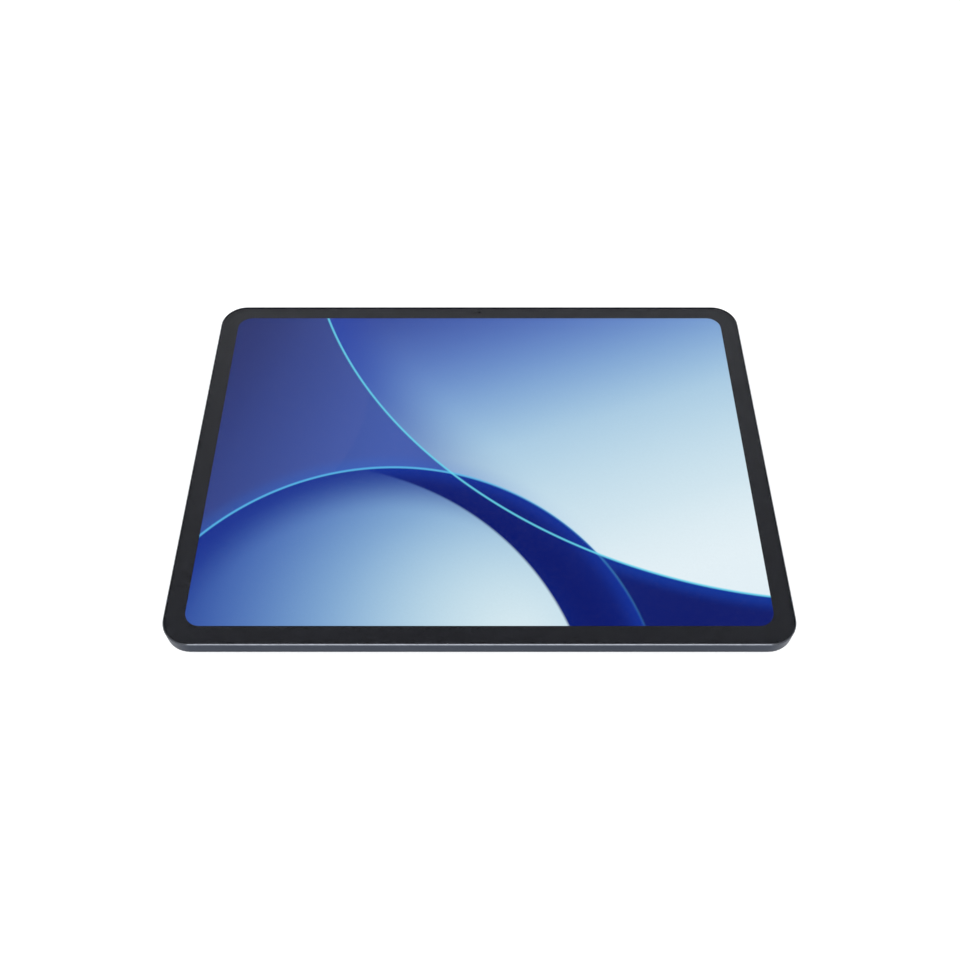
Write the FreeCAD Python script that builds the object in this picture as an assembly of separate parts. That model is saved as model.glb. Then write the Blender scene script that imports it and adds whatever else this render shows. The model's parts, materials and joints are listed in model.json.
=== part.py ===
import FreeCAD, Part
import os

# Tablet computer lying on its back with the display up, in millimetres.
# Origin: centre of the rear housing's flat back face.
# +X is to the right, +Y towards the edge with the front camera, +Z out of the display.

# Driving dimensions
WIDTH = 266.5
DEPTH = 193.2
THICKNESS = 7.5
CORNER_R = 12.2
SCREEN_W = 248.7
SCREEN_D = 176.5
SCREEN_R = 6.8
SCREEN_Y = 0.6

# Housing
WALL = 1.8
FLOOR = 0.9
BACK_EDGE_R = 0.8
RIM = 0.6
RIM_DROP = 0.1
RIM_CHAMFER = 0.4
BREAK_W = 1.6

# Display stack, from the top down
GLASS_T = 0.65
GLASS_GAP = 0.06
GLASS_EDGE_R = 0.22
INK_T = 0.05
GASKET_T = 0.1
CELL_T = 0.7
BACKLIGHT_T = 0.9
CELL_BORDER = 1.5
CELL_R = 7.5

# Inside
BOSS_R = 1.7
SCREW_R = 0.5
SCREW_BORE_R = 0.55
SCREW_HEAD_R = 1.2
BOARD_T = 0.8
BOARD_Z = 1.5
BATTERY_T = 2.9
TAPE_T = 0.15
RIBBON_T = 0.15
RIBBON_Z = 3.1
CAN_H = 1.5
CAN_T = 0.2
CHIP_T = 0.9

# Side features share one height above the back
SIDE_Z = 3.25
SLOT_GAP = 0.15
KEY_H = 2.1
KEY_PROUD = 0.35
POWER_Y = 70.0
POWER_L = 16.0
VOLUME_X = -96.0
VOLUME_L = 32.0
USB_W = 9.1
USB_H = 3.2
USB_DEPTH = 6.6
SPEAKER_Y = 43.0
SPEAKER_L = 34.0
SPEAKER_HOLES = 12
SPEAKER_PITCH = 1.8
SPEAKER_HOLE_R = 0.5
MIC_HOLE_R = 0.4
MIC_X = (-40.0, 18.0)
TRAY_X = 60.0
TRAY_W = 13.6
TRAY_T = 0.8
TRAY_CAP_W = 15.4
TRAY_CAP_H = 1.9
EJECT_X = TRAY_X + 9.6
LEVER_X = TRAY_X + 4.6

# Cameras
CAMERA_X = 111.0
CAMERA_Y = 76.0
CAMERA_PROUD = 1.0
CAMERA_RING_R = 8.2
FLASH_X = 96.0
FLASH_R = 2.65
FRONT_CAMERA_Y = DEPTH / 2 - 3.7
FRONT_CAMERA_R = 0.8
LIGHT_SENSOR_X = -2.3

# Heights that follow from the stack
RIM_TOP = THICKNESS - RIM_DROP
GLASS_Z = THICKNESS - GLASS_T
INK_Z = GLASS_Z - INK_T
LEDGE_Z = INK_Z - GASKET_T
CELL_Z = INK_Z - CELL_T
BACKLIGHT_Z = CELL_Z - BACKLIGHT_T
MIDPLATE_T = 0.4
MIDPLATE_Z = BACKLIGHT_Z - 0.2 - MIDPLATE_T
DRIVER_TOP = MIDPLATE_Z - 0.1
BOARD_TOP = BOARD_Z + BOARD_T
USB_BOARD_T = 0.6
USB_BOARD_TOP = SIDE_Z - USB_H / 2
CELL_Z0 = FLOOR + TAPE_T

# Inner faces of the walls
INNER_X = WIDTH / 2 - WALL
INNER_Y = DEPTH / 2 - WALL

# Places of the mechanisms behind the walls
POWER_BRACKET_X = -INNER_X + 2.2
SPEAKER_WALL_X = INNER_X - 0.3
SPEAKER_CASE_W = 20.9
VOLUME_PIN_Y = INNER_Y - 2.0
LEVER_Y = INNER_Y - 23.8
TRAY_END_Y = LEVER_Y + 2.8

# Screw seats: places where a board, plate or bracket is fastened to a boss
BOARD_SCREWS = ((-57.0, 53.0), (-57.0, 87.5), (20.5, 53.0), (47.5, 87.5), (85.0, 87.5))
USB_SCREWS = ((121.0, -13.0), (121.0, 13.0))
POWER_SCREWS = tuple((POWER_BRACKET_X + 2.5, POWER_Y + offset) for offset in (-8, 8))
VOLUME_SCREWS = ((VOLUME_X - 13, 88.5), (VOLUME_X + 13, 88.5))
MIDPLATE_SCREWS = ((-121.0, -82.0), (12.0, -82.0), (121.0, -82.0), (-106.0, 0.0), (105.0, -25.0), (-106.0, 84.0),
                   (-70.0, 84.0), (99.0, 84.0))

NEAR_FAR = (-1, 1)
LEFT_RIGHT = (-1, 1)


def box(x0, x1, y0, y1, z0, z1):
    return Part.makeBox(x1 - x0, y1 - y0, z1 - z0, FreeCAD.Vector(x0, y0, z0))


def block(x, y, size_x, size_y, z0, z1):
    return box(x - size_x / 2, x + size_x / 2, y - size_y / 2, y + size_y / 2, z0, z1)


def disc(x, y, radius, z0, z1):
    return Part.makeCylinder(radius, z1 - z0, FreeCAD.Vector(x, y, z0))


def rod_x(y, radius, x0, x1):
    return Part.makeCylinder(radius, x1 - x0, FreeCAD.Vector(x0, y, SIDE_Z), FreeCAD.Vector(1, 0, 0))


def rod_y(x, radius, y0, y1):
    return Part.makeCylinder(radius, y1 - y0, FreeCAD.Vector(x, y0, SIDE_Z), FreeCAD.Vector(0, 1, 0))


def rounded_block(x, y, size_x, size_y, radius, z0, z1):
    solid = block(x, y, size_x, size_y, z0, z1)
    uprights = [e for e in solid.Edges if abs(e.tangentAt(e.FirstParameter).z) > 0.9]
    return solid.makeFillet(radius, uprights)


def outline(inset, z0, z1):
    return rounded_block(0, 0, WIDTH - 2 * inset, DEPTH - 2 * inset, CORNER_R - inset, z0, z1)


def pill_x(y, length, height, x0, x1):
    """A slot-shaped bar whose long section lies along Y, running from x0 to x1."""
    reach = (length - height) / 2
    middle = box(x0, x1, y - reach, y + reach, SIDE_Z - height / 2, SIDE_Z + height / 2)
    ends = [rod_x(y + side * reach, height / 2, x0, x1) for side in NEAR_FAR]
    return middle.multiFuse(ends).removeSplitter()


def pill_y(x, length, height, y0, y1):
    """A slot-shaped bar whose long section lies along X, running from y0 to y1."""
    reach = (length - height) / 2
    middle = box(x - reach, x + reach, y0, y1, SIDE_Z - height / 2, SIDE_Z + height / 2)
    ends = [rod_y(x + side * reach, height / 2, y0, y1) for side in LEFT_RIGHT]
    return middle.multiFuse(ends).removeSplitter()


def fused(pieces):
    return pieces[0].multiFuse(pieces[1:]).removeSplitter()


def edges_at(solid, height, tolerance=1e-4):
    """The edges that lie flat at one height."""
    found = []
    for edge in solid.Edges:
        bounds = edge.BoundBox
        if abs(bounds.ZMin - height) < tolerance and abs(bounds.ZMax - height) < tolerance:
            found.append(edge)
    return found


def hollow_can(x, y, size_x, size_y, z0, height, sheet):
    """A pressed sheet cover, open underneath."""
    outer = rounded_block(x, y, size_x, size_y, 1.0, z0, z0 + height)
    inner = block(x, y, size_x - 2 * sheet, size_y - 2 * sheet, z0 - 1, z0 + height - sheet)
    return outer.cut(inner)


def speaker_hole_ys(side):
    first = side * SPEAKER_Y - SPEAKER_PITCH * (SPEAKER_HOLES - 1) / 2
    return [first + SPEAKER_PITCH * i for i in range(SPEAKER_HOLES)]


# Housing

def boss(x, y, top):
    return disc(x, y, BOSS_R, FLOOR - 0.1, top)


def boss_bore(x, y, top):
    depth = min(top - FLOOR / 2, 2.0)
    return disc(x, y, SCREW_BORE_R, top - depth, top + 1)


def housing_blank():
    outer = outline(0, 0, RIM_TOP)
    outer = outer.makeFillet(BACK_EDGE_R, edges_at(outer, 0))
    outer = outer.makeChamfer(RIM_CHAMFER, edges_at(outer, RIM_TOP))
    cavity = outline(WALL, FLOOR, THICKNESS + 1)
    glass_pocket = outline(RIM, LEDGE_Z, THICKNESS + 1)
    return outer.cut(cavity).cut(glass_pocket)


def housing_posts():
    low = BOARD_SCREWS + POWER_SCREWS + VOLUME_SCREWS
    seats = [(x, y, BOARD_Z) for x, y in low]
    seats += [(x, y, USB_BOARD_TOP - USB_BOARD_T) for x, y in USB_SCREWS]
    seats += [(x, y, MIDPLATE_Z) for x, y in MIDPLATE_SCREWS]
    return seats


def housing_ribs():
    """Low stiffening ribs on the floor around the battery bay."""
    rib_w = 0.8
    rib_top = 2.2
    ribs = [block(side * 103.5, -18, rib_w, 112, FLOOR - 0.1, rib_top) for side in LEFT_RIGHT]
    ribs += [block(side * 52, -80.5, 88, rib_w, FLOOR - 0.1, rib_top) for side in LEFT_RIGHT]
    ribs += [block(side * 70, 43.2, 60, rib_w, FLOOR - 0.1, rib_top) for side in LEFT_RIGHT]
    return ribs


def side_openings():
    out_x = WIDTH / 2 + 1
    out_y = DEPTH / 2 + 1
    in_x = INNER_X - 0.5
    in_y = INNER_Y - 0.5
    tools = [pill_x(POWER_Y, POWER_L + 2 * SLOT_GAP, KEY_H + 2 * SLOT_GAP, -out_x, -in_x)]
    tools.append(pill_y(VOLUME_X, VOLUME_L + 3 * SLOT_GAP, KEY_H + 2 * SLOT_GAP, in_y, out_y))
    tools.append(pill_x(0, USB_W + 0.2, USB_H + 0.2, in_x, out_x))
    tools.append(pill_y(TRAY_X, TRAY_CAP_W + 0.4, TRAY_CAP_H + 0.4, in_y, out_y))
    tools.append(rod_y(EJECT_X, MIC_HOLE_R, in_y, out_y))
    tools += [rod_y(x, MIC_HOLE_R, in_y, out_y) for x in MIC_X]
    for side in NEAR_FAR:
        for y in speaker_hole_ys(side):
            tools.append(rod_x(y, SPEAKER_HOLE_R, -out_x, -in_x))
            tools.append(rod_x(y, SPEAKER_HOLE_R, in_x, out_x))
    return tools


def break_cuts():
    """Where a plastic strip crosses the metal wall to let radio waves through."""
    cuts = [box(x - BREAK_W / 2, x + BREAK_W / 2, INNER_Y, DEPTH, -1, THICKNESS) for x in (-66.0, 92.0)]
    for side in LEFT_RIGHT:
        near, far = sorted((side * INNER_X, side * WIDTH))
        cuts.append(box(near, far, -76 - BREAK_W / 2, -76 + BREAK_W / 2, -1, THICKNESS))
    return cuts


def housing_and_breaks():
    housing = fused([housing_blank()] + [boss(*seat) for seat in housing_posts()] + housing_ribs())
    camera_hole = disc(CAMERA_X, CAMERA_Y, CAMERA_RING_R + 0.05, -1, FLOOR + 1)
    flash_hole = disc(FLASH_X, CAMERA_Y, FLASH_R + 0.05, -1, FLOOR + 1)
    bores = [boss_bore(*seat) for seat in housing_posts()]
    housing = housing.cut(side_openings() + bores + [camera_hole, flash_hole])
    cuts = break_cuts()
    breaks = Part.makeCompound([housing.common(cut) for cut in cuts])
    return housing.cut(cuts), breaks


# Display

def cover_glass():
    glass = outline(RIM + GLASS_GAP, GLASS_Z, THICKNESS)
    return glass.makeFillet(GLASS_EDGE_R, edges_at(glass, THICKNESS))


def screen_window(grow, z0, z1):
    return rounded_block(0, SCREEN_Y, SCREEN_W + 2 * grow, SCREEN_D + 2 * grow, SCREEN_R + grow, z0, z1)


def bezel_ink():
    """Black printed border on the back of the glass, clear over the camera and the light sensor."""
    frame = outline(RIM + 2 * GLASS_GAP, INK_Z, GLASS_Z)
    window = screen_window(0, INK_Z - 1, GLASS_Z + 1)
    camera = disc(0, FRONT_CAMERA_Y, FRONT_CAMERA_R, INK_Z - 1, GLASS_Z + 1)
    sensor = disc(LIGHT_SENSOR_X, FRONT_CAMERA_Y, 0.35, INK_Z - 1, GLASS_Z + 1)
    return frame.cut([window, camera, sensor])


def display_gasket():
    return outline(RIM + 0.15, LEDGE_Z, INK_Z).cut(outline(WALL - 0.1, LEDGE_Z - 1, INK_Z + 1))


def panel(z0, z1):
    return rounded_block(0, SCREEN_Y, SCREEN_W + 2 * CELL_BORDER, SCREEN_D + 4.0, CELL_R, z0, z1)


def display_flex():
    """Flexible tabs that fold from the panel's near edge round to the driver board."""
    edge_y = SCREEN_Y - SCREEN_D / 2 - 2.0
    fold_y = edge_y - 1.6
    film = 0.1
    board_top = DRIVER_TOP
    tabs = []
    for x in (-45.0, -15.0, 15.0, 45.0):
        top = box(x - 9, x + 9, fold_y, edge_y, CELL_Z + 0.3, CELL_Z + 0.3 + film)
        drop = box(x - 9, x + 9, fold_y, fold_y + film, board_top, CELL_Z + 0.3 + film)
        foot = box(x - 9, x + 9, fold_y, fold_y + 3, board_top, board_top + film)
        tabs.append(fused([top, drop, foot]))
    return Part.makeCompound(tabs)


def display_driver_board():
    return box(-70, 70, -91.2, -86.4, DRIVER_TOP - 0.6, DRIVER_TOP)


def display_ribbon():
    run = box(-2.4, 2.4, -90, 53, RIBBON_Z, RIBBON_Z + RIBBON_T)
    riser = box(-2.4, 2.4, -90, -87, RIBBON_Z + RIBBON_T, DRIVER_TOP - 0.6)
    return fused([run, riser])


def midframe_plate():
    plate = rounded_block(0, 1, 248, 174, 4, MIDPLATE_Z, MIDPLATE_Z + MIDPLATE_T)
    low = MIDPLATE_Z - 1
    high = MIDPLATE_Z + 2
    cuts = [block(CAMERA_X, CAMERA_Y, 12, 12, low, high)]
    cuts.append(box(116, 126, -7, 7, low, high))
    for x in (-78.0, -26.0, 26.0, 78.0):
        cuts.append(rounded_block(x, -20, 34, 76, 6, low, high))
    for x, y in MIDPLATE_SCREWS:
        cuts.append(disc(x, y, SCREW_HEAD_R + 0.1, MIDPLATE_Z + 0.1, high))
        cuts.append(disc(x, y, SCREW_R + 0.1, low, high))
    return plate.cut(cuts)


# Power

def battery_cell(side):
    """A foil pouch cell with a thin crimped hem at its far end."""
    pouch = rounded_block(side * 52, -20, 98, 116, 2.5, CELL_Z0, CELL_Z0 + BATTERY_T)
    pouch = pouch.makeFillet(0.8, edges_at(pouch, CELL_Z0 + BATTERY_T))
    hem = block(side * 52, 39.5, 80, 4, CELL_Z0 + 1.2, CELL_Z0 + 1.5)
    return fused([pouch, hem])


def battery_tapes():
    xs = (-84.0, -52.0, -20.0, 20.0, 52.0, 84.0)
    return Part.makeCompound([block(x, -20, 16, 108, FLOOR, CELL_Z0) for x in xs])


def battery_protection_board():
    board = box(-34, 34, 42, 47.5, 1.4, 2.2)
    pad = box(26, 32, 43, 47, 2.2, RIBBON_Z)
    return fused([board, pad])


def battery_flex():
    z1 = RIBBON_Z + RIBBON_T
    start = box(26, 32, 43, 49, RIBBON_Z, z1)
    run = box(26, 84, 46, 49, RIBBON_Z, z1)
    end = box(76, 84, 46, 56, RIBBON_Z, z1)
    return fused([start, run, end])


# Main board

def main_board():
    board = rounded_block(14, 70.25, 148, 40.5, 1.5, BOARD_Z, BOARD_TOP)
    holes = [disc(x, y, SCREW_R + 0.2, 0, BOARD_TOP + 1) for x, y in BOARD_SCREWS]
    return board.cut(holes)


def chip(x, y, size_x, size_y):
    return block(x, y, size_x, size_y, BOARD_TOP, BOARD_TOP + CHIP_T)


def board_connectors():
    main = [block(80, y, 7, 3, BOARD_TOP, RIBBON_Z) for y in (54.0, 63.0)]
    main.append(block(0, 51.6, 4.4, 1.8, BOARD_TOP, RIBBON_Z))
    main.append(block(111.5, 0, 3, 7, USB_BOARD_TOP, RIBBON_Z))
    return Part.makeCompound(main)


def screw(x, y, seat, length, head_h):
    return fused([disc(x, y, SCREW_HEAD_R, seat, seat + head_h), disc(x, y, SCREW_R, seat - length, seat + 0.1)])


def internal_screws():
    bracket_top = BOARD_Z + 0.4
    screws = [screw(x, y, BOARD_TOP, BOARD_T + 0.6, 0.4) for x, y in BOARD_SCREWS]
    screws += [screw(x, y, USB_BOARD_TOP, USB_BOARD_T + 0.4, 0.4) for x, y in USB_SCREWS]
    screws += [screw(x, y, bracket_top, 1.0, 0.4) for x, y in POWER_SCREWS + VOLUME_SCREWS]
    screws += [screw(x, y, MIDPLATE_Z + 0.1, 1.6, MIDPLATE_T - 0.1) for x, y in MIDPLATE_SCREWS]
    return Part.makeCompound(screws)


# USB board and port

def usb_board():
    board = rounded_block(119.5, 0, 21, 32, 1.0, USB_BOARD_TOP - USB_BOARD_T, USB_BOARD_TOP)
    return board.cut([disc(x, y, SCREW_R + 0.2, 0, USB_BOARD_TOP + 1) for x, y in USB_SCREWS])


def usb_port_shell():
    mouth_x = WIDTH / 2 - 0.1
    back_x = mouth_x - USB_DEPTH
    sheet = 0.3
    tube = pill_x(0, USB_W, USB_H, back_x, mouth_x)
    return tube.cut(pill_x(0, USB_W - 2 * sheet, USB_H - 2 * sheet, back_x + sheet, mouth_x + 1))


def usb_port_tongue():
    back_x = WIDTH / 2 - 0.1 - USB_DEPTH + 0.3
    length = USB_DEPTH - 1.4
    tongue = block(back_x + length / 2, 0, length, 6.7, SIDE_Z - 0.35, SIDE_Z + 0.35)
    base = block(back_x + 0.8, 0, 1.6, 7.0, SIDE_Z - 1.0, SIDE_Z + 1.0)
    return fused([tongue, base])


def interconnect_flex():
    z1 = RIBBON_Z + RIBBON_T
    start = box(104.5, 113, -3.5, 3.5, RIBBON_Z, z1)
    run = box(104.5, 109, -3.5, 65, RIBBON_Z, z1)
    end = box(76.5, 109, 61, 65, RIBBON_Z, z1)
    return fused([start, run, end])


# Sound

def speaker(side_x, side_y):
    """A sealed speaker box with an oval membrane on top and a sound duct to the wall."""
    middle_x = side_x * (SPEAKER_WALL_X - SPEAKER_CASE_W / 2)
    y = side_y * SPEAKER_Y
    case = rounded_block(middle_x, y, SPEAKER_CASE_W, SPEAKER_L, 1.5, FLOOR + 0.1, MIDPLATE_Z - 0.1)
    membrane = rounded_block(middle_x, y, 10, 22, 4.5, MIDPLATE_Z - 0.5, MIDPLATE_Z + 1)
    wall_x = side_x * SPEAKER_WALL_X
    x0, x1 = sorted((wall_x - side_x * 2.5, wall_x + side_x))
    duct = pill_x(y, 24, 1.6, x0, x1)
    return case.cut([membrane, duct])


def speaker_meshes():
    meshes = []
    for side_x in LEFT_RIGHT:
        x0, x1 = sorted((side_x * SPEAKER_WALL_X, side_x * INNER_X))
        meshes += [pill_x(side_y * SPEAKER_Y, 25.5, 2.2, x0, x1) for side_y in NEAR_FAR]
    return Part.makeCompound(meshes)


def microphones():
    mics = []
    for x in MIC_X:
        case = block(x, INNER_Y - 1.2, 3.6, 2.2, SIDE_Z - 0.95, SIDE_Z + 0.95)
        mics.append(case.cut(rod_y(x, MIC_HOLE_R, INNER_Y - 1.0, INNER_Y)))
    return Part.makeCompound(mics)


# Rear camera and flash

GLASS_SEAT_Z = -0.3
RING_TOP = FLOOR + 0.3
MODULE_Z = RING_TOP + 0.1


def rear_camera_ring():
    rim = disc(CAMERA_X, CAMERA_Y, CAMERA_RING_R, -CAMERA_PROUD, FLOOR + 0.1)
    rim = rim.makeChamfer(0.3, edges_at(rim, -CAMERA_PROUD))
    flange = disc(CAMERA_X, CAMERA_Y, CAMERA_RING_R + 1.0, FLOOR, RING_TOP)
    window = disc(CAMERA_X, CAMERA_Y, 5.65, -CAMERA_PROUD - 1, GLASS_SEAT_Z)
    bore = disc(CAMERA_X, CAMERA_Y, 4.6, -CAMERA_PROUD - 1, RING_TOP + 1)
    return fused([rim, flange]).cut([window, bore])


def rear_camera_glass():
    return disc(CAMERA_X, CAMERA_Y, 5.6, GLASS_SEAT_Z - 0.6, GLASS_SEAT_Z)


def camera_gasket():
    ring = disc(CAMERA_X, CAMERA_Y, 4.7, RING_TOP, MODULE_Z)
    return ring.cut(disc(CAMERA_X, CAMERA_Y, 3.8, 0, MODULE_Z + 1))


def rear_camera_module():
    case = rounded_block(CAMERA_X, CAMERA_Y, 9.8, 9.8, 0.6, MODULE_Z, BACKLIGHT_Z - 0.25)
    return case.cut(disc(CAMERA_X, CAMERA_Y, 3.2, MODULE_Z - 1, 3.1))


def camera_lens_barrel():
    barrel = disc(CAMERA_X, CAMERA_Y, 3.1, 0.15, 2.7)
    cone = Part.makeCone(2.6, 1.7, 0.5, FreeCAD.Vector(CAMERA_X, CAMERA_Y, 0.15), FreeCAD.Vector(0, 0, 1))
    pocket = disc(CAMERA_X, CAMERA_Y, 1.7, 0.6, 1.6)
    return barrel.cut([cone, pocket])


def camera_lens_element():
    """The front lens: a disc with a domed outer face."""
    dome_r = 3.6
    dome_top = 0.68
    sphere = Part.makeSphere(dome_r, FreeCAD.Vector(CAMERA_X, CAMERA_Y, dome_top + dome_r))
    return disc(CAMERA_X, CAMERA_Y, 1.65, 0.5, 1.55).common(sphere)


def flash_lens():
    return disc(FLASH_X, CAMERA_Y, FLASH_R, 0.05, FLOOR + 0.2)


def flash_led():
    led = block(FLASH_X, CAMERA_Y, 3, 3, FLOOR + 0.2, FLOOR + 0.8)
    board = block(FLASH_X, CAMERA_Y, 7, 9, FLOOR + 0.8, FLOOR + 1.1)
    return fused([led, board])


# Front camera and light sensor

def front_camera_module():
    case_top = INK_Z - 0.6
    case = box(-1.35, 3.15, FRONT_CAMERA_Y - 1.5, FRONT_CAMERA_Y + 1.5, 3.2, case_top)
    barrel = disc(0, FRONT_CAMERA_Y, 1.2, case_top - 0.1, INK_Z - 0.05)
    pocket = disc(0, FRONT_CAMERA_Y, 0.7, case_top + 0.15, INK_Z + 1)
    return fused([case, barrel]).cut(pocket)


def front_camera_lens():
    seat_z = INK_Z - 0.45
    dome_r = 1.5
    sphere = Part.makeSphere(dome_r, FreeCAD.Vector(0, FRONT_CAMERA_Y, seat_z + 0.3 - dome_r))
    return disc(0, FRONT_CAMERA_Y, 0.65, seat_z, INK_Z).common(sphere)


def ambient_light_sensor():
    return block(LIGHT_SENSOR_X, FRONT_CAMERA_Y, 1.3, 1.6, INK_Z - 1.1, INK_Z - 0.1)


# Keys

def power_button():
    face_x = -WIDTH / 2 - KEY_PROUD
    flange_x = -INNER_X + 0.3
    key = pill_x(POWER_Y, POWER_L, KEY_H, face_x, flange_x + 0.1)
    key = key.makeFillet(0.2, [e for e in key.Edges if e.BoundBox.XMax < face_x + 1e-4])
    flange = block(flange_x + 0.25, POWER_Y, 0.5, POWER_L + 2, SIDE_Z - 1.5, SIDE_Z + 1.5)
    nub = rod_x(POWER_Y, 0.8, flange_x + 0.4, flange_x + 1.05)
    return fused([key, flange, nub])


def power_key_bracket():
    foot_z = BOARD_Z
    reach = 9.8
    x = POWER_BRACKET_X
    plate = box(x, x + 0.4, POWER_Y - reach, POWER_Y + reach, foot_z, SIDE_Z + 1.65)
    foot = box(x, x + 4.5, POWER_Y - reach, POWER_Y + reach, foot_z, foot_z + 0.4)
    holes = [disc(screw_x, screw_y, SCREW_R + 0.1, 0, 3) for screw_x, screw_y in POWER_SCREWS]
    return fused([plate, foot]).cut(holes)


def power_key_switch():
    """Dome switch on its flexible strip."""
    x = POWER_BRACKET_X
    film = box(x - RIBBON_T, x, POWER_Y - 7, POWER_Y + 7, SIDE_Z - 1.3, SIDE_Z + 1.3)
    return fused([film, rod_x(POWER_Y, 1.6, x - 0.5, x - 0.1)])


def volume_rocker():
    face_y = DEPTH / 2 + KEY_PROUD
    flange_y = INNER_Y - 0.4
    key = pill_y(VOLUME_X, VOLUME_L, KEY_H, flange_y - 0.1, face_y)
    key = key.makeFillet(0.2, [e for e in key.Edges if e.BoundBox.YMin > face_y - 1e-4])
    flange = block(VOLUME_X, flange_y - 0.25, VOLUME_L + 3, 0.5, SIDE_Z - 1.5, SIDE_Z + 1.5)
    nub_y = VOLUME_PIN_Y - 0.8
    nubs = [rod_y(VOLUME_X + side * 10, 0.8, nub_y, flange_y - 0.4) for side in LEFT_RIGHT]
    lug = disc(VOLUME_X, VOLUME_PIN_Y, 1.15, SIDE_Z - 1.0, SIDE_Z + 1.0)
    web = block(VOLUME_X, (VOLUME_PIN_Y + flange_y) / 2, 1.6, flange_y - VOLUME_PIN_Y, SIDE_Z - 1.0, SIDE_Z + 1.0)
    bore = disc(VOLUME_X, VOLUME_PIN_Y, SCREW_BORE_R, 0, THICKNESS)
    return fused([key, flange, lug, web] + nubs).cut(bore)


def volume_key_bracket():
    """Steel angle behind the rocker, with the pin that the rocker turns on."""
    foot_z = BOARD_Z
    front_y = VOLUME_PIN_Y - 1.6
    plate = box(VOLUME_X - 16, VOLUME_X + 16, front_y - 0.4, front_y, foot_z, BACKLIGHT_Z - 0.1)
    foot = box(VOLUME_X - 16, VOLUME_X + 16, front_y - 4, front_y, foot_z, foot_z + 0.4)
    tab = box(VOLUME_X - 2, VOLUME_X + 2, front_y - 0.2, VOLUME_PIN_Y + 0.9, foot_z, foot_z + 0.4)
    pin = disc(VOLUME_X, VOLUME_PIN_Y, SCREW_R, foot_z, SIDE_Z + 1.3)
    holes = [disc(x, y, SCREW_R + 0.1, 0, 3) for x, y in VOLUME_SCREWS]
    return fused([plate, foot, tab, pin]).cut(holes)


def volume_key_switches():
    """Two dome switches on one flexible strip."""
    back_y = VOLUME_PIN_Y - 1.6
    film = box(VOLUME_X - 14, VOLUME_X + 14, back_y, back_y + RIBBON_T, SIDE_Z - 1.3, SIDE_Z + 1.3)
    domes = [rod_y(VOLUME_X + side * 10, 1.6, back_y + 0.1, back_y + 0.5) for side in LEFT_RIGHT]
    return fused([film] + domes)


# Card tray and its ejector

def card_tray():
    cap = pill_y(TRAY_X, TRAY_CAP_W, TRAY_CAP_H, INNER_Y, DEPTH / 2)
    cap = cap.makeFillet(0.15, [e for e in cap.Edges if e.BoundBox.YMin > DEPTH / 2 - 1e-4])
    body = box(TRAY_X - TRAY_W / 2, TRAY_X + TRAY_W / 2, TRAY_END_Y, INNER_Y + 0.1, SIDE_Z - TRAY_T / 2,
               SIDE_Z + TRAY_T / 2)
    card = rounded_block(TRAY_X, TRAY_END_Y + 9.4, 11.2, 15.2, 0.8, SIDE_Z - 0.2, SIDE_Z + 1)
    window = rounded_block(TRAY_X, TRAY_END_Y + 9.4, 8.8, 12.6, 0.8, 0, SIDE_Z + 1)
    return fused([cap, body]).cut([card, window])


def card_socket():
    """Sheet cage that guides the tray and the push rod and carries the lever's pin."""
    base_top = BOARD_TOP + 0.35
    roof_z = SIDE_Z + 0.6
    end_y = INNER_Y - 1.8
    base = box(TRAY_X - 8.4, TRAY_X + 11.4, LEVER_Y - 1.8, end_y, BOARD_TOP, base_top)
    rails = [box(TRAY_X + side * 7.8 - 0.6, TRAY_X + side * 7.8 + 0.6, TRAY_END_Y, end_y, BOARD_TOP, roof_z)
             for side in LEFT_RIGHT]
    roof = box(TRAY_X - 8.4, TRAY_X + 8.4, TRAY_END_Y, end_y, roof_z - 0.05, roof_z + 0.2)
    guides = [block(EJECT_X - 0.1, LEVER_Y + reach, 2.4, 2, BOARD_TOP, roof_z) for reach in (6.0, 19.0)]
    pin = disc(LEVER_X, LEVER_Y, 0.6, BOARD_TOP, roof_z)
    bore = rod_y(EJECT_X, 0.56, LEVER_Y, INNER_Y)
    return fused([base, roof, pin] + rails + guides).cut(bore)


def tray_push_rod():
    return rod_y(EJECT_X, 0.5, LEVER_Y + 0.95, INNER_Y - 0.4)


def tray_eject_lever():
    bar = rounded_block(LEVER_X, LEVER_Y, 12, 1.4, 0.6, SIDE_Z - 0.3, SIDE_Z + 0.3)
    hub = disc(LEVER_X, LEVER_Y, 1.2, SIDE_Z - 0.3, SIDE_Z + 0.3)
    return fused([bar, hub]).cut(disc(LEVER_X, LEVER_Y, 0.65, 0, THICKNESS))


def cover_magnets():
    """Bar magnets along the near wall that hold a cover in place."""
    xs = (-100.0, -86.0, -72.0, 72.0, 86.0, 100.0)
    return Part.makeCompound([block(x, -INNER_Y + 1.6, 12, 2.6, FLOOR + 0.05, 3.2) for x in xs])


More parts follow.
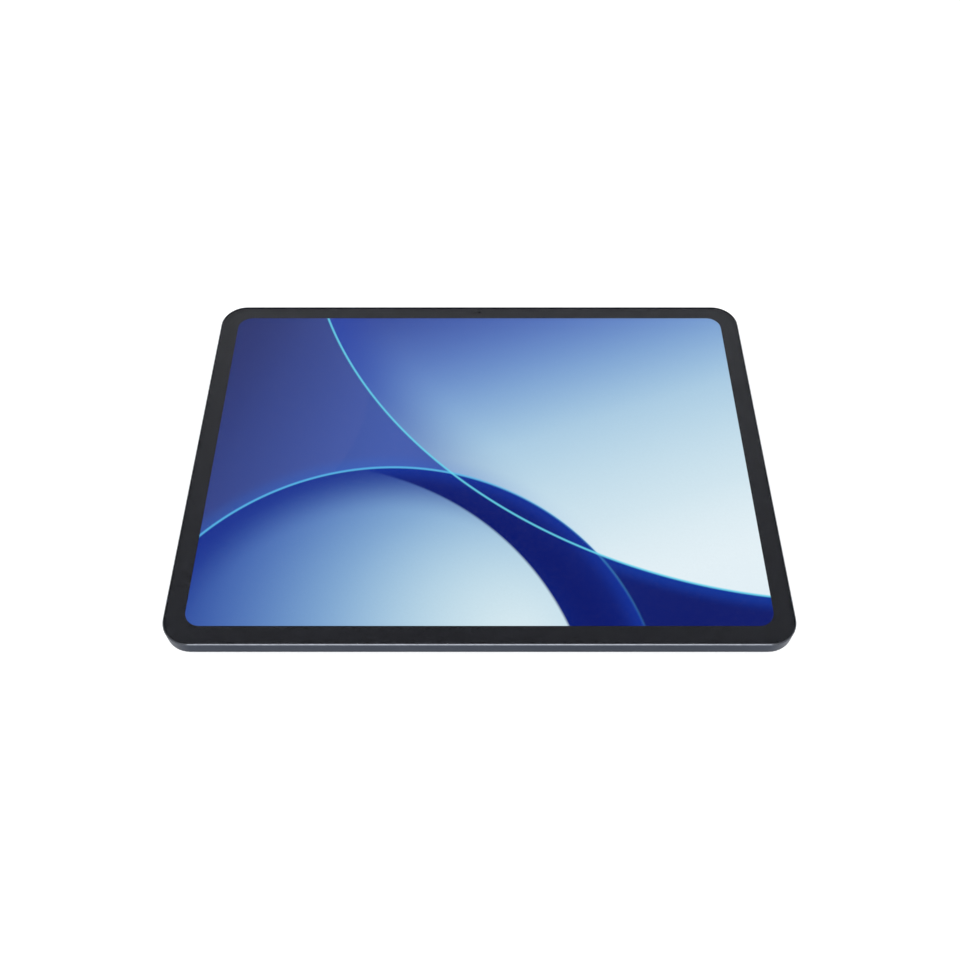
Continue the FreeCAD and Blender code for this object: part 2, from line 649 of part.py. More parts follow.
def all_nodes():
    housing, breaks = housing_and_breaks()
    nodes = {
        "rear_housing": housing,
        "antenna_breaks": breaks,
        "cover_glass": cover_glass(),
        "bezel_ink": bezel_ink(),
        "display_gasket": display_gasket(),
        "lcd_cell": panel(CELL_Z, INK_Z),
        "backlight_unit": panel(BACKLIGHT_Z, CELL_Z),
        "display_flex": display_flex(),
        "display_driver_board": display_driver_board(),
        "display_ribbon": display_ribbon(),
        "midframe_plate": midframe_plate(),
        "battery_cell_left": battery_cell(-1),
        "battery_cell_right": battery_cell(1),
        "battery_tapes": battery_tapes(),
        "battery_protection_board": battery_protection_board(),
        "battery_flex": battery_flex(),
        "main_board": main_board(),
        "processor_chip": chip(-10, 70, 15, 15),
        "memory_chips": Part.makeCompound([chip(8, y, 12, 10) for y in (64.0, 77.0)]),
        "storage_chip": chip(60, 58, 13, 11.5),
        "power_chips": Part.makeCompound([chip(x, y, 6, 6) for x, y in ((-48, 62), (-38, 62), (-43, 74))]),
        "radio_chip": chip(34, 66, 9, 9),
        "shield_can_processor": hollow_can(-2, 70, 40, 33, BOARD_TOP, CAN_H, CAN_T),
        "shield_can_power": hollow_can(-41, 68, 28, 28, BOARD_TOP, CAN_H, CAN_T),
        "shield_can_radio": hollow_can(35, 66, 22, 26, BOARD_TOP, CAN_H, CAN_T),
        "thermal_pad": block(-10, 70, 14, 14, BOARD_TOP + CHIP_T, BOARD_TOP + CAN_H - CAN_T),
        "board_connectors": board_connectors(),
        "internal_screws": internal_screws(),
        "usb_board": usb_board(),
        "usb_port_shell": usb_port_shell(),
        "usb_port_tongue": usb_port_tongue(),
        "interconnect_flex": interconnect_flex(),
        "speaker_meshes": speaker_meshes(),
        "microphones": microphones(),
        "rear_camera_ring": rear_camera_ring(),
        "rear_camera_glass": rear_camera_glass(),
        "camera_gasket": camera_gasket(),
        "rear_camera_module": rear_camera_module(),
        "camera_lens_barrel": camera_lens_barrel(),
        "camera_lens_element": camera_lens_element(),
        "flash_lens": flash_lens(),
        "flash_led": flash_led(),
        "front_camera_module": front_camera_module(),
        "front_camera_lens": front_camera_lens(),
        "ambient_light_sensor": ambient_light_sensor(),
        "power_button": power_button(),
        "power_key_bracket": power_key_bracket(),
        "power_key_switch": power_key_switch(),
        "volume_rocker": volume_rocker(),
        "volume_key_bracket": volume_key_bracket(),
        "volume_key_switches": volume_key_switches(),
        "card_tray": card_tray(),
        "card_socket": card_socket(),
        "tray_push_rod": tray_push_rod(),
        "tray_eject_lever": tray_eject_lever(),
        "cover_magnets": cover_magnets(),
    }
    for side_x, name_x in zip(LEFT_RIGHT, ("left", "right")):
        for side_y, name_y in zip(NEAR_FAR, ("near", "far")):
            nodes["speaker_" + name_x + "_" + name_y] = speaker(side_x, side_y)
    return nodes


def main():
    os.makedirs("parts", exist_ok=True)
    for name, shape in all_nodes().items():
        shape.exportStep(os.path.join("parts", name + ".step"))
        print(name, len(shape.Solids), round(shape.Volume, 3))


main()
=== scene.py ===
import bmesh
import bpy
import json
import math
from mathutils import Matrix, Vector


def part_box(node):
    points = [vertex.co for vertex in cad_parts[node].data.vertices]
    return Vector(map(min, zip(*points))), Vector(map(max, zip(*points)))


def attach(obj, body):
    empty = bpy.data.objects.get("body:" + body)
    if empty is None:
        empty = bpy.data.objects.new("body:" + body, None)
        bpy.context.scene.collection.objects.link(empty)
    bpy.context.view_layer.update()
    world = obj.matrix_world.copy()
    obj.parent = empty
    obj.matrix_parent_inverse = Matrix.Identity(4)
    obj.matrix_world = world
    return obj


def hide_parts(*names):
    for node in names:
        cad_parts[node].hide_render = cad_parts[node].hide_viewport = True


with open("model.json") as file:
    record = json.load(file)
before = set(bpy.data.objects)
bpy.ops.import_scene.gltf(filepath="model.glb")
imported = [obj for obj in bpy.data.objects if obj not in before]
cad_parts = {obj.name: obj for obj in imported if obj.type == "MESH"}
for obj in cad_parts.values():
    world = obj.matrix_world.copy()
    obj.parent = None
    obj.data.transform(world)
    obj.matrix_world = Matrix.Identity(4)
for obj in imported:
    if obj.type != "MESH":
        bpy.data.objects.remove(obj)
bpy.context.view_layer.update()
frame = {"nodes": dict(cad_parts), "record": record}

# Looks of a tablet computer lying on its back. Lengths are in metres.
MM = 0.001

glass_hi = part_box("cover_glass")[1]
house_lo, house_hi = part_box("rear_housing")
ring_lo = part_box("rear_camera_ring")[0]
window_lo, window_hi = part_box("rear_camera_glass")
flash_lo, flash_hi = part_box("flash_lens")
tongue_lo, tongue_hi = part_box("usb_port_tongue")
selfie_lo, selfie_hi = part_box("front_camera_lens")

FLOOR_Z = ring_lo.z
BEVEL_DEPTH = 0.4 * MM
BEVEL_FOOT = house_hi.z - BEVEL_DEPTH


# ---------------------------------------------------------------- colours

def srgb(red, green, blue):
    """A linear colour from 0-255 display values."""
    def linear(value):
        value = value / 255
        if value <= 0.04045:
            return value / 12.92
        return ((value + 0.055) / 1.055) ** 2.4
    return (linear(red), linear(green), linear(blue), 1.0)


def scaled(colour, factor, lift=0.0):
    """A linear colour made darker or paler, at most white."""
    return tuple(min(1.0, part * factor + lift) for part in colour[:3]) + (1.0,)


# ---------------------------------------------------------------- node helpers

class Graph:
    """A material's node tree, with short calls for the nodes used here."""

    def __init__(self, name):
        self.material = bpy.data.materials.new(name)
        self.material.use_nodes = True
        self.tree = self.material.node_tree
        self.tree.nodes.clear()
        self.output = self.tree.nodes.new("ShaderNodeOutputMaterial")

    def node(self, kind, **settings):
        made = self.tree.nodes.new(kind)
        for key, value in settings.items():
            setattr(made, key, value)
        return made

    def link(self, source, target):
        self.tree.links.new(source, target)

    def feed(self, socket, value):
        """Link a socket, or set its value when given a number, vector or colour."""
        if isinstance(value, bpy.types.NodeSocket):
            self.link(value, socket)
        else:
            socket.default_value = value

    def shader(self, **inputs):
        made = self.node("ShaderNodeBsdfPrincipled")
        for key, value in inputs.items():
            self.feed(made.inputs[key.replace("_", " ")], value)
        self.link(made.outputs["BSDF"], self.output.inputs["Surface"])
        return made

    def position(self):
        return self.node("ShaderNodeTexCoord").outputs["Object"]

    def axes(self):
        split = self.node("ShaderNodeSeparateXYZ")
        self.link(self.position(), split.inputs[0])
        return split.outputs["X"], split.outputs["Y"], split.outputs["Z"]

    def math(self, operation, first, second=0.0, third=0.0):
        made = self.node("ShaderNodeMath", operation=operation)
        for socket, value in zip(made.inputs, (first, second, third)):
            self.feed(socket, value)
        return made.outputs[0]

    def map(self, value, low, high, out_low=0.0, out_high=1.0, smooth=False):
        kind = "SMOOTHSTEP" if smooth else "LINEAR"
        made = self.node("ShaderNodeMapRange", interpolation_type=kind)
        for key, number in (("From Min", low), ("From Max", high), ("To Min", out_low), ("To Max", out_high)):
            made.inputs[key].default_value = number
        self.feed(made.inputs["Value"], value)
        return made.outputs["Result"]

    def mix(self, factor, first, second, blend="MIX"):
        made = self.node("ShaderNodeMix", data_type="RGBA", blend_type=blend)
        self.feed(made.inputs[0], factor)
        self.feed(made.inputs[6], first)
        self.feed(made.inputs[7], second)
        return made.outputs[2]

    def ramp(self, factor, stops):
        made = self.node("ShaderNodeValToRGB")
        made.color_ramp.interpolation = "B_SPLINE"
        elements = made.color_ramp.elements
        while len(elements) < len(stops):
            elements.new(0.5)
        for element, (place, colour) in zip(elements, stops):
            element.position = place
            element.color = colour
        self.feed(made.inputs[0], factor)
        return made.outputs["Color"]

    def noise(self, scale, detail=2.0, roughness=0.5, vector=None):
        made = self.node("ShaderNodeTexNoise")
        made.inputs["Scale"].default_value = scale
        made.inputs["Detail"].default_value = detail
        made.inputs["Roughness"].default_value = roughness
        self.link(vector or self.position(), made.inputs["Vector"])
        return made.outputs["Fac"]

    def bump(self, height, depth, strength=1.0):
        made = self.node("ShaderNodeBump")
        made.inputs["Strength"].default_value = strength
        made.inputs["Distance"].default_value = depth
        self.link(height, made.inputs["Height"])
        return made.outputs["Normal"]


def dress(node, material):
    """Give a CAD node one material."""
    slots = frame["nodes"][node].material_slots
    for slot in slots:
        slot.material = material


# ---------------------------------------------------------------- display picture

# the picture's discs: centre x, centre y and radius, in millimetres
SKY_DISC = (158, 176, 252)
DOME_DISC = (-40, -120, 114)
PALE_DISC = (-84, -134, 130)
HAZE_DISC = (-150, 40, 96)
PALE_HEART = (18, -92)
PALE_REACH = 165

# colour ramps: place along the ramp, then the colour
FIELD_RAMP = [(0.0, srgb(8, 16, 80)), (0.12, srgb(36, 52, 120)), (0.28, srgb(60, 82, 158)),
              (0.46, srgb(76, 102, 184)), (0.66, srgb(8, 28, 116)), (1.0, srgb(10, 24, 104))]
SKY_RAMP = [(0.0, srgb(40, 56, 142)), (0.2, srgb(80, 110, 186)), (0.37, srgb(118, 158, 210)),
            (0.55, srgb(170, 206, 228)), (0.82, srgb(212, 232, 240)), (1.0, srgb(232, 243, 248))]
CRESCENT_RAMP = [(0.0, srgb(14, 52, 160)), (0.35, srgb(4, 20, 104)), (0.82, srgb(6, 20, 104)),
                 (1.0, srgb(16, 52, 158))]
PALE_RAMP = [(0.0, srgb(222, 238, 243)), (0.25, srgb(186, 217, 232)), (0.5, srgb(124, 168, 212)),
             (0.78, srgb(56, 92, 176)), (1.0, srgb(24, 46, 134))]
HAZE_BLUE = srgb(84, 98, 170)
GLOW_BLUE = srgb(16, 70, 186)
SKY_SHADE = srgb(38, 66, 166)
PALE_SHADE = srgb(18, 44, 142)
DOME_RIM = srgb(96, 196, 240)
DOME_HALO = srgb(40, 110, 214)
SKY_RIM = srgb(104, 214, 238)

GLASS_COATED_IOR = 1.05
GLOSS_IOR = 1.3
PANEL_IOR = 1.19
COATED_LENS_IOR = 1.12
CROWN_GLASS_IOR = 1.52


def circle_distance(g, x, y, disc):
    """Distance outside a disc, in millimetres; x and y are sockets in millimetres."""
    centre_x, centre_y, radius = disc
    dx = g.math("SUBTRACT", x, centre_x)
    dy = g.math("SUBTRACT", y, centre_y)
    square = g.math("ADD", g.math("MULTIPLY", dx, dx), g.math("MULTIPLY", dy, dy))
    return g.math("SUBTRACT", g.math("SQRT", square), radius)


def inside(g, distance, soft=0.25):
    """1 inside a disc and 0 outside, with a soft edge."""
    return g.map(distance, soft, -soft)


def band(g, distance, width):
    """A soft line on a contour: 1 on it, falling to 0 at the width."""
    return g.map(g.math("ABSOLUTE", distance), width, 0.0, smooth=True)


def wipe_marks(g):
    """Roughness of the bonded display: polished, with the faintest wipe marks."""
    return g.map(g.noise(45.0, 4.0, 0.6), 0.4, 0.75, 0.02, 0.05)


def field_colours(g, x, y, to_sky):
    """Outside every disc: indigo on the left, deep royal blue on the right."""
    across = g.map(g.math("SUBTRACT", x, g.math("MULTIPLY", y, 0.35)), -150, 125)
    field = g.ramp(across, FIELD_RAMP)
    to_haze = circle_distance(g, x, y, HAZE_DISC)
    field = g.mix(g.map(to_haze, 0.5, -0.5, 0.0, 0.2), field, HAZE_BLUE)
    glow = g.math("MULTIPLY", g.map(to_sky, 9, 0, smooth=True), g.map(x, 10, 70))
    return g.mix(g.math("MULTIPLY", glow, 0.5), field, GLOW_BLUE)


def sky_colours(g, x, y, to_sky):
    """The bright disc in the upper right, shaded along its left edge."""
    slope = g.math("SUBTRACT", g.math("MULTIPLY", x, 0.0022), g.math("MULTIPLY", y, 0.0058))
    sky = g.ramp(g.map(slope, -0.68, 0.55), SKY_RAMP)
    edge_shade = g.map(to_sky, 0, -30, 1.0, 0.0, smooth=True)
    edge_shade = g.math("MULTIPLY", edge_shade, g.map(x, 30, -70, 0.0, 0.7))
    return g.mix(edge_shade, sky, SKY_SHADE)


def pale_colours(g, x, y, to_dome):
    """The pale disc in the lower left, brightest at its heart and shaded under the dome's rim."""
    heart_x, heart_y = PALE_HEART
    pale_x = g.math("SUBTRACT", x, heart_x)
    pale_y = g.math("SUBTRACT", y, heart_y)
    flat_x = g.math("MULTIPLY", pale_x, pale_x)
    tall_y = g.math("MULTIPLY", g.math("MULTIPLY", pale_y, pale_y), 1.25)
    reach = g.math("SQRT", g.math("ADD", flat_x, tall_y))
    pale = g.ramp(g.map(reach, 0, PALE_REACH), PALE_RAMP)
    return g.mix(g.map(to_dome, 0, -26, 0.9, 0.0, smooth=True), pale, PALE_SHADE)


def light_rims(g, x, picture, to_dome, to_sky):
    """Thin light rims where the discs meet the field."""
    rim = g.math("MULTIPLY", band(g, to_dome, 1.0), g.map(x, 70, -20, 0.1, 0.9))
    picture = g.mix(rim, picture, DOME_RIM)
    halo = g.math("MULTIPLY", g.map(to_dome, 9, 0, smooth=True), g.map(to_dome, -0.3, 0.3))
    picture = g.mix(g.math("MULTIPLY", halo, g.map(x, 60, -60, 0.0, 0.25)), picture, DOME_HALO)
    return g.mix(g.math("MULTIPLY", band(g, to_sky, 0.9), 0.9), picture, SKY_RIM)


def display_picture():
    """Lit panel with a plain abstract picture of overlapping soft discs."""
    g = Graph("display_picture")
    x, y = (g.math("DIVIDE", metres, MM) for metres in g.axes()[:2])
    to_sky = circle_distance(g, x, y, SKY_DISC)
    to_dome = circle_distance(g, x, y, DOME_DISC)
    to_pale = circle_distance(g, x, y, PALE_DISC)

    picture = g.mix(inside(g, to_sky), field_colours(g, x, y, to_sky), sky_colours(g, x, y, to_sky))
    crescent = g.ramp(g.map(to_dome, -46, 0), CRESCENT_RAMP)
    picture = g.mix(inside(g, to_dome), picture, crescent)
    both = g.math("MULTIPLY", inside(g, to_dome), inside(g, to_pale, 0.6))
    picture = g.mix(both, picture, pale_colours(g, x, y, to_dome))
    picture = light_rims(g, x, picture, to_dome, to_sky)

    pixel_grid = g.map(g.noise(900.0, 1.0), 0.3, 0.7, 0.985, 1.0)
    lit = g.mix(1.0, picture, pixel_grid, "MULTIPLY")
    panel_black = (0.002, 0.002, 0.0025, 1)
    g.shader(Base_Color=panel_black, Roughness=wipe_marks(g), IOR=PANEL_IOR, Emission_Color=lit,
             Emission_Strength=1.0)
    return g.material


# ---------------------------------------------------------------- metals and plastics

def anodised(name, colour, roughness=0.42, grain=4200.0, cut_and_highlight=None):
    """Bead-blasted anodised aluminium, rubbed a little paler along its edges.

    The bevel colour, where given, goes on the smooth machined bevel round the display, lighter than the
    housing: the machined finish's own grey with a painted highlight.
    """
    g = Graph(name)
    z = g.axes()[2]
    blast = g.noise(grain, 3.0, 0.6)
    cloud = g.noise(26.0, 3.0, 0.55)
    scuff = g.noise(620.0, 4.0, 0.65)
    darker = scaled(colour, 0.88)
    worn = scaled(colour, 1.9, 0.02)
    base = g.mix(g.map(cloud, 0.3, 0.7, 0.0, 0.5), colour, darker)
    base = g.mix(1.0, base, g.map(blast, 0.25, 0.75, 0.93, 1.06), "MULTIPLY")
    top_edge = g.map(z, BEVEL_FOOT - 0.2 * MM, BEVEL_FOOT, smooth=True)
    back_edge = g.map(z, 0.8 * MM, 0.1 * MM, smooth=True)
    edges = g.math("MAXIMUM", top_edge, g.math("MULTIPLY", back_edge, g.map(z, -0.05 * MM, 0.12 * MM)))
    rubbed = g.math("MULTIPLY", edges, g.map(scuff, 0.5, 0.72, 0.0, 0.35))
    base = g.mix(rubbed, base, worn)
    rough = g.math("ADD", roughness, g.map(blast, 0.2, 0.8, -0.05, 0.05))
    rough = g.math("ADD", rough, g.map(cloud, 0.3, 0.7, -0.03, 0.03))
    rough = g.math("SUBTRACT", rough, g.math("MULTIPLY", rubbed, 0.2))
    relief = blast
    # the bevel's grey, lighter than the housing, is partly a painted highlight along the chamfer
    if cut_and_highlight:
        bevel = g.map(z, BEVEL_FOOT - 0.01 * MM, BEVEL_FOOT + 0.01 * MM)
        machined_and_highlight = g.mix(g.map(scuff, 0.35, 0.7), cut_and_highlight, scaled(cut_and_highlight, 0.86))
        base = g.mix(bevel, base, machined_and_highlight)
        rough = g.mix(bevel, rough, g.map(scuff, 0.3, 0.7, 0.2, 0.27))
        relief = g.math("MULTIPLY", blast, g.math("SUBTRACT", 1.0, bevel))
    g.shader(Base_Color=base, Metallic=1.0, Roughness=rough, Normal=g.bump(relief, 0.010 * MM, 0.5))
    return g.material


def satin_plastic(name, colour, roughness=0.45, grain=5200.0, depth=0.006):
    """Moulded plastic with a fine even texture and slight mottling."""
    g = Graph(name)
    fine = g.noise(grain, 2.0, 0.5)
    cloud = g.noise(60.0, 2.0, 0.5)
    darker = scaled(colour, 0.8)
    base = g.mix(g.map(cloud, 0.3, 0.7, 0.0, 0.5), colour, darker)
    rough = g.math("ADD", roughness, g.map(fine, 0.2, 0.8, -0.05, 0.05))
    g.shader(Base_Color=base, Roughness=rough, Normal=g.bump(fine, depth * MM, 0.5))
    return g.material


def metal(name, colour, roughness=0.3, grain=1800.0):
    """Stamped or turned bright metal with faint streaks."""
    g = Graph(name)
    streaks = g.noise(grain, 3.0, 0.6)
    darker = scaled(colour, 0.8)
    base = g.mix(g.map(streaks, 0.3, 0.7), colour, darker)
    rough = g.math("ADD", roughness, g.map(streaks, 0.2, 0.8, -0.08, 0.08))
    g.shader(Base_Color=base, Metallic=1.0, Roughness=rough, Normal=g.bump(streaks, 0.004 * MM, 0.4))
    return g.material


def cover_glass_material():
    """Clear glass with a strong anti-reflection coating; the bonded layers under it carry the gloss."""
    g = Graph("cover_glass_clear")
    wipe = g.noise(45.0, 4.0, 0.6)
    rough = g.map(wipe, 0.45, 0.75, 0.0, 0.02)
    clear = (0.985, 0.99, 0.995, 1)
    g.shader(Base_Color=clear, Roughness=rough, IOR=GLASS_COATED_IOR, Transmission_Weight=1.0)
    return g.material


def lens_glass(name, tint, painted_sheen, ior=CROWN_GLASS_IOR):
    """Coated optical glass: a clear body whose tint carries a painted violet-green coating sheen, mottled by
    noise.
    """
    g = Graph(name)
    swirl = g.noise(320.0, 1.0)
    # painted sheen: the coating's reflection colour is mixed into the glass's own tint
    body = g.mix(g.map(swirl, 0.3, 0.7, 0.0, 0.3), tint, painted_sheen)
    g.shader(Base_Color=body, Roughness=0.02, IOR=ior, Transmission_Weight=1.0)
    return g.material


def camera_black_and_shade():
    """Near-black round the front camera, darker than the print about it: the module's own black with the
    shade of the camera's hollow painted in.
    """
    g = Graph("camera_black_and_painted_shade")
    fine = g.noise(4000.0, 2.0)
    base = g.mix(g.map(fine, 0.3, 0.7), (0.0015, 0.0014, 0.0028, 1), (0.0030, 0.0026, 0.0050, 1))
    g.shader(Base_Color=base, Roughness=0.6, IOR=GLASS_COATED_IOR, Normal=g.bump(fine, 0.004 * MM, 0.5))
    return g.material


def border_ink():
    """Black print seen through the glass."""
    g = Graph("border_ink_black")
    screen_print = g.noise(3000.0, 1.0)
    black = (0.0200, 0.0207, 0.0255, 1)
    paler_black = (0.0225, 0.0232, 0.0285, 1)
    base = g.mix(g.map(screen_print, 0.3, 0.7), black, paler_black)
    g.shader(Base_Color=base, Roughness=wipe_marks(g), IOR=GLOSS_IOR)
    return g.material


def flash_window_material():
    g = Graph("flash_window")
    fine = g.noise(900.0, 2.0)
    base = g.mix(g.map(fine, 0.3, 0.7), srgb(238, 234, 214), srgb(226, 220, 190))
    g.shader(Base_Color=base, Roughness=0.25, Subsurface_Weight=0.3, Subsurface_Scale=0.4 * MM)
    return g.material


def woven_mesh():
    """Black dust mesh: fine crossing threads."""
    g = Graph("dust_mesh_weave")
    y, z = g.axes()[1:]
    thread_pitch = 0.12 * MM
    threads = 2 * math.pi / thread_pitch
    wave_y = g.math("SINE", g.math("MULTIPLY", y, threads))
    wave_z = g.math("SINE", g.math("MULTIPLY", z, threads))
    weave = g.math("MULTIPLY", wave_y, wave_z)
    base = g.mix(g.map(weave, -0.2, 0.6), (0.004, 0.004, 0.004, 1), (0.035, 0.035, 0.037, 1))
    g.shader(Base_Color=base, Roughness=0.6, Normal=g.bump(weave, 0.03 * MM, 0.8))
    return g.material


HOUSING_BLUE = srgb(36, 45, 61)
# the machined bevel's grey, partly a painted highlight along the chamfer
BEVEL_GREY_AND_HIGHLIGHT = (0.086, 0.091, 0.103, 1)

MATERIALS = {
    "housing_aluminium": anodised("housing_anodised", HOUSING_BLUE, cut_and_highlight=BEVEL_GREY_AND_HIGHLIGHT),
    "ring_aluminium": anodised("ring_anodised", srgb(44, 50, 63), 0.3, 5200.0),
    "key_aluminium": anodised("key_anodised", srgb(50, 57, 71), 0.36),
    "break_plastic": satin_plastic("break_moulded", srgb(60, 67, 84), 0.5),
    "cover_glass": cover_glass_material(),
    "border_ink": border_ink(),
    "display_panel": display_picture(),
    "foam": satin_plastic("foam_black", (0.02, 0.02, 0.022, 1), 0.9, 2600.0, 0.05),
    "white_sheet": satin_plastic("white_film", (0.78, 0.78, 0.79, 1), 0.5),
    "flex_film": satin_plastic("amber_film", (0.50, 0.24, 0.04, 1), 0.35),
    "circuit_board": satin_plastic("solder_mask", (0.01, 0.05, 0.06, 1), 0.35),
    "steel_sheet": metal("stamped_steel", (0.60, 0.60, 0.61, 1), 0.32),
    "battery_foil": satin_plastic("black_wrap", (0.03, 0.03, 0.032, 1), 0.4),
    "chip_resin": satin_plastic("chip_epoxy", (0.012, 0.012, 0.014, 1), 0.5),
    "connector_plastic": satin_plastic("cream_moulding", (0.66, 0.60, 0.46, 1), 0.5),
    "screw_steel": metal("dark_screw", (0.30, 0.30, 0.31, 1), 0.35),
    "port_steel": metal("drawn_steel", (0.46, 0.47, 0.49, 1), 0.28),
    "port_plastic": satin_plastic("port_black", (0.012, 0.012, 0.013, 1), 0.4),
    "dust_mesh": woven_mesh(),
    "lens_glass": lens_glass("coated_lens", (0.80, 0.84, 0.92, 1), (0.62, 0.72, 0.95, 1)),
    "module_black": satin_plastic("module_matte", (0.006, 0.006, 0.007, 1), 0.55),
    "flash_plastic": flash_window_material(),
    "led_phosphor": satin_plastic("phosphor", (0.80, 0.62, 0.08, 1), 0.6),
    "magnet_nickel": metal("nickel", (0.66, 0.63, 0.58, 1), 0.2),
    "speaker_plastic": satin_plastic("speaker_black", (0.02, 0.02, 0.022, 1), 0.5),
}

# the print lies a hair under the glass, so that light reaches it
INK_DROP = 0.01 * MM
ink_gap = frame["nodes"]["bezel_ink"].modifiers.new("under_glass", "DISPLACE")
ink_gap.direction = "Z"
ink_gap.mid_level = 0.0
ink_gap.strength = -INK_DROP

slot_of = {part["node"]: part["material_slot"] for part in frame["record"]["subparts"]}
for node_name in frame["nodes"]:
    dress(node_name, MATERIALS[slot_of[node_name]])
# the front camera's near-black is its own black plus painted shade of the camera hollow
front_black_and_shade = camera_black_and_shade()
dress("front_camera_module", front_black_and_shade)
front_tint = (0.30, 0.26, 0.46, 1)
# the front lens's second colour is a painted coating sheen
front_painted_sheen = (0.20, 0.22, 0.50, 1)
dress("front_camera_lens", lens_glass("front_lens_coated", front_tint, front_painted_sheen, COATED_LENS_IOR))


# ---------------------------------------------------------------- small detail pieces

def new_piece(name, mesh, material, body):
    """Put a finished mesh on one CAD body, with its material and slot."""
    data = bpy.data.meshes.new(name)
    mesh.to_mesh(data)
    mesh.free()
    piece = bpy.data.objects.new(name, data)
    bpy.context.collection.objects.link(piece)
    data.materials.append(material)
    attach(piece, body)
    return piece


def lathe(centre, profile, segments=96):
    """A closed turned form about the vertical through centre; profile is (radius, height) pairs in metres."""
    mesh = bmesh.new()
    rings = []
    for radius, height in profile:
        if radius == 0:
            rings.append([mesh.verts.new((centre.x, centre.y, height))] * segments)
            continue
        ring = []
        for step in range(segments):
            angle = 2 * math.pi * step / segments
            place = (centre.x + radius * math.cos(angle), centre.y + radius * math.sin(angle), height)
            ring.append(mesh.verts.new(place))
        rings.append(ring)
    for here, there in zip(rings, rings[1:] + rings[:1]):
        for step in range(segments):
            after = (step + 1) % segments
            corners = [here[step], here[after], there[after], there[step]]
            unique = list(dict.fromkeys(corners))
            if len(unique) > 2:
                mesh.faces.new(unique)
    bmesh.ops.recalc_face_normals(mesh, faces=mesh.faces)
    return mesh


def middle(low, high):
    return (low + high) / 2


def washer_profile(inner, outer, low, high, soft):
    """A flat ring's section with small chamfers."""
    return [(inner + soft, low), (outer - soft, low), (outer, low + soft), (outer, high - soft),
            (outer - soft, high), (inner + soft, high), (inner, high - soft), (inner, low + soft)]


def rear_window_mask():
    """Black printed mask behind the rear camera window, and a fine bright trim round the lens."""
    mask_inner = 3.45 * MM
    mask_outer = 4.5 * MM
    trim_inner = 3.15 * MM
    trim_outer = 3.42 * MM
    centre = middle(window_lo, window_hi)
    low = window_hi.z + 0.02 * MM
    mask = lathe(centre, washer_profile(mask_inner, mask_outer, low, low + 0.08 * MM, 0.01 * MM))
    new_piece("rear_window_mask", mask, MATERIALS["module_black"], "tablet")
    trim = lathe(centre, washer_profile(trim_inner, trim_outer, low, low + 0.1 * MM, 0.03 * MM))
    new_piece("rear_lens_trim", trim, MATERIALS["port_steel"], "tablet")


def ridged_flash_window():
    """The flash window, with the stepped rings of a flat lens on its outer face."""
    centre = middle(flash_lo, flash_hi)
    radius = (flash_hi.x - flash_lo.x) / 2
    pitch = 0.28 * MM
    step = 0.09 * MM
    ring_count = 7
    flat_edge = 0.12 * MM
    step_run = 0.02 * MM
    face = flash_lo.z
    profile = [(0, flash_hi.z), (radius, flash_hi.z), (radius, face)]
    profile.append((pitch * ring_count + flat_edge, face))
    for ring in range(ring_count, 0, -1):
        profile.append((pitch * ring, face))
        profile.append((pitch * (ring - 1) + step_run, face + step))
    profile.append((0, face + step))
    window = new_piece("flash_window_ridged", lathe(centre, profile), MATERIALS["flash_plastic"], "tablet")
    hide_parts("flash_lens")


def contact_pads():
    """Gold contacts on both faces of the charging port's tongue."""
    pad_count = 12
    pad_pitch = 0.5 * MM
    pad_width = 0.26 * MM
    pad_height = 0.03 * MM
    power_pad_length = 2.6 * MM
    signal_pad_length = 2.2 * MM
    tip_gap = 0.35 * MM
    pad_bevel = 0.008 * MM
    tongue_half = 0.35 * MM
    tip = tongue_hi.x
    row_middle = middle(tongue_lo, tongue_hi)
    mesh = bmesh.new()
    for face in (-1, 1):
        for number in range(pad_count):
            y = row_middle.y + (number - (pad_count - 1) / 2) * pad_pitch
            z = row_middle.z + face * (tongue_half + pad_height / 2)
            made = bmesh.ops.create_cube(mesh, size=1.0)["verts"]
            long = power_pad_length if number in (0, pad_count - 1) else signal_pad_length
            bmesh.ops.scale(mesh, verts=made, vec=(long, pad_width, pad_height))
            bmesh.ops.translate(mesh, verts=made, vec=(tip - tip_gap - long / 2, y, z))
            rims = [e for e in mesh.edges if e.verts[0] in made and e.verts[1] in made]
            outward = [e for e in rims if all((v.co.z - z) * face > 0 for v in e.verts)]
            bmesh.ops.bevel(mesh, geom=outward, offset=pad_bevel, segments=1, affect="EDGES")
    gold = metal("gold_flash", (0.83, 0.60, 0.25, 1), 0.25)
    new_piece("usb_contact_pads", mesh, gold, "tablet")


def selfie_trim():
    """Ring round the front camera's lens, just under the glass, in the same near-black with painted shade of
    the hollow.
    """
    ring_inner = 0.42 * MM
    ring_outer = 0.66 * MM
    ring_thickness = 0.06 * MM
    centre = middle(selfie_lo, selfie_hi)
    top = selfie_hi.z + 0.12 * MM
    trim = lathe(centre, washer_profile(ring_inner, ring_outer, top - ring_thickness, top, 0.015 * MM), 64)
    new_piece("front_lens_trim", trim, front_black_and_shade, "tablet")


rear_window_mask()
ridged_flash_window()
contact_pads()
selfie_trim()


# ---------------------------------------------------------------- stage, light and camera

FLOOR_WIDTH = 12.0


def stage_floor():
    bpy.ops.mesh.primitive_plane_add(size=FLOOR_WIDTH, location=(0, 0, FLOOR_Z))
    floor = bpy.context.object
    floor.name = "floor"
    g = Graph("floor_white")
    grain = g.noise(900.0, 2.0)
    base = g.mix(g.map(grain, 0.3, 0.7), (0.80, 0.80, 0.80, 1), (0.82, 0.82, 0.82, 1))
    g.shader(Base_Color=base, Roughness=0.9, Emission_Color=(1, 1, 1, 1), Emission_Strength=0.45)
    floor.data.materials.append(g.material)


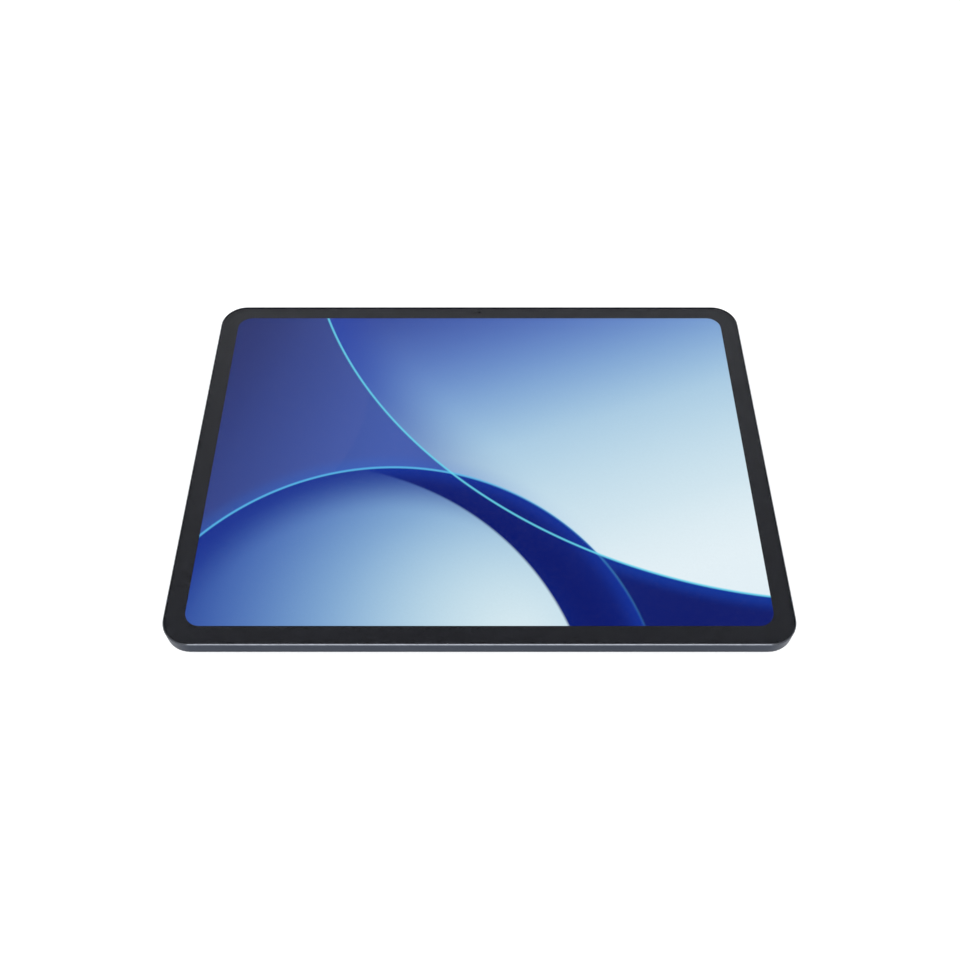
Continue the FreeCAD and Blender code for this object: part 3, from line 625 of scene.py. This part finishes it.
def softbox(name, place, size_x, size_y, power, mirrored=True):
    """A softbox aimed at the tablet, which leaves no rectangle behind the glass.

    One that isn't mirrored gives no highlight on gloss either.
    """
    data = bpy.data.lights.new(name, "AREA")
    data.shape = "RECTANGLE"
    data.size = size_x
    data.size_y = size_y
    data.energy = power
    light = bpy.data.objects.new(name, data)
    light.location = place
    light.rotation_euler = (-Vector(place)).to_track_quat("-Z", "Y").to_euler()
    light.visible_glossy = mirrored
    light.visible_transmission = False
    bpy.context.collection.objects.link(light)


ROOM_COLOUR = (0.97, 0.985, 1.0, 1)
WALL_STRENGTH = 1.1
CEILING_STRENGTH = 0.33
# height of a direction, as the Z of its unit vector
DIMMING_STARTS = 0.68
DIMMING_ENDS = 0.93


def studio_light():
    """A pale room that is dimmer overhead, with softboxes at both sides and one low in front."""
    world = bpy.data.worlds.new("studio")
    bpy.context.scene.world = world
    world.use_nodes = True
    tree = world.node_tree
    background = tree.nodes["Background"]
    background.inputs["Color"].default_value = ROOM_COLOUR
    direction = tree.nodes.new("ShaderNodeTexCoord")
    split = tree.nodes.new("ShaderNodeSeparateXYZ")
    overhead = tree.nodes.new("ShaderNodeMapRange")
    overhead.interpolation_type = "SMOOTHSTEP"
    heights = (("From Min", DIMMING_STARTS), ("From Max", DIMMING_ENDS))
    strengths = (("To Min", WALL_STRENGTH), ("To Max", CEILING_STRENGTH))
    for key, number in heights + strengths:
        overhead.inputs[key].default_value = number
    tree.links.new(direction.outputs["Generated"], split.inputs[0])
    tree.links.new(split.outputs["Z"], overhead.inputs["Value"])
    tree.links.new(overhead.outputs["Result"], background.inputs["Strength"])
    softbox("left_softbox", place=(-1.4, -0.3, 0.7), size_x=0.9, size_y=0.9, power=6.0, mirrored=False)
    softbox("right_softbox", place=(1.4, -0.3, 0.7), size_x=0.9, size_y=0.9, power=5.0, mirrored=False)
    softbox("front_softbox", place=(0.0, -1.5, 0.68), size_x=1.3, size_y=0.4, power=9.6)


def product_camera():
    """A three-quarter view from the front edge, looking down at the display."""
    data = bpy.data.cameras.new("camera")
    data.sensor_width = 36.0
    data.lens = 37.57
    camera = bpy.data.objects.new("camera", data)
    eye_right = 0.26 * MM
    eye_back = 180.1 * MM
    eye_up = 379.7 * MM
    look_down = math.radians(55.32)
    camera.location = (eye_right, house_lo.y - eye_back, glass_hi.z + eye_up)
    camera.rotation_euler = (math.pi / 2 - look_down, 0, 0)
    bpy.context.collection.objects.link(camera)
    bpy.context.scene.camera = camera


stage_floor()
studio_light()
product_camera()
bpy.context.scene.view_settings.view_transform = "Standard"
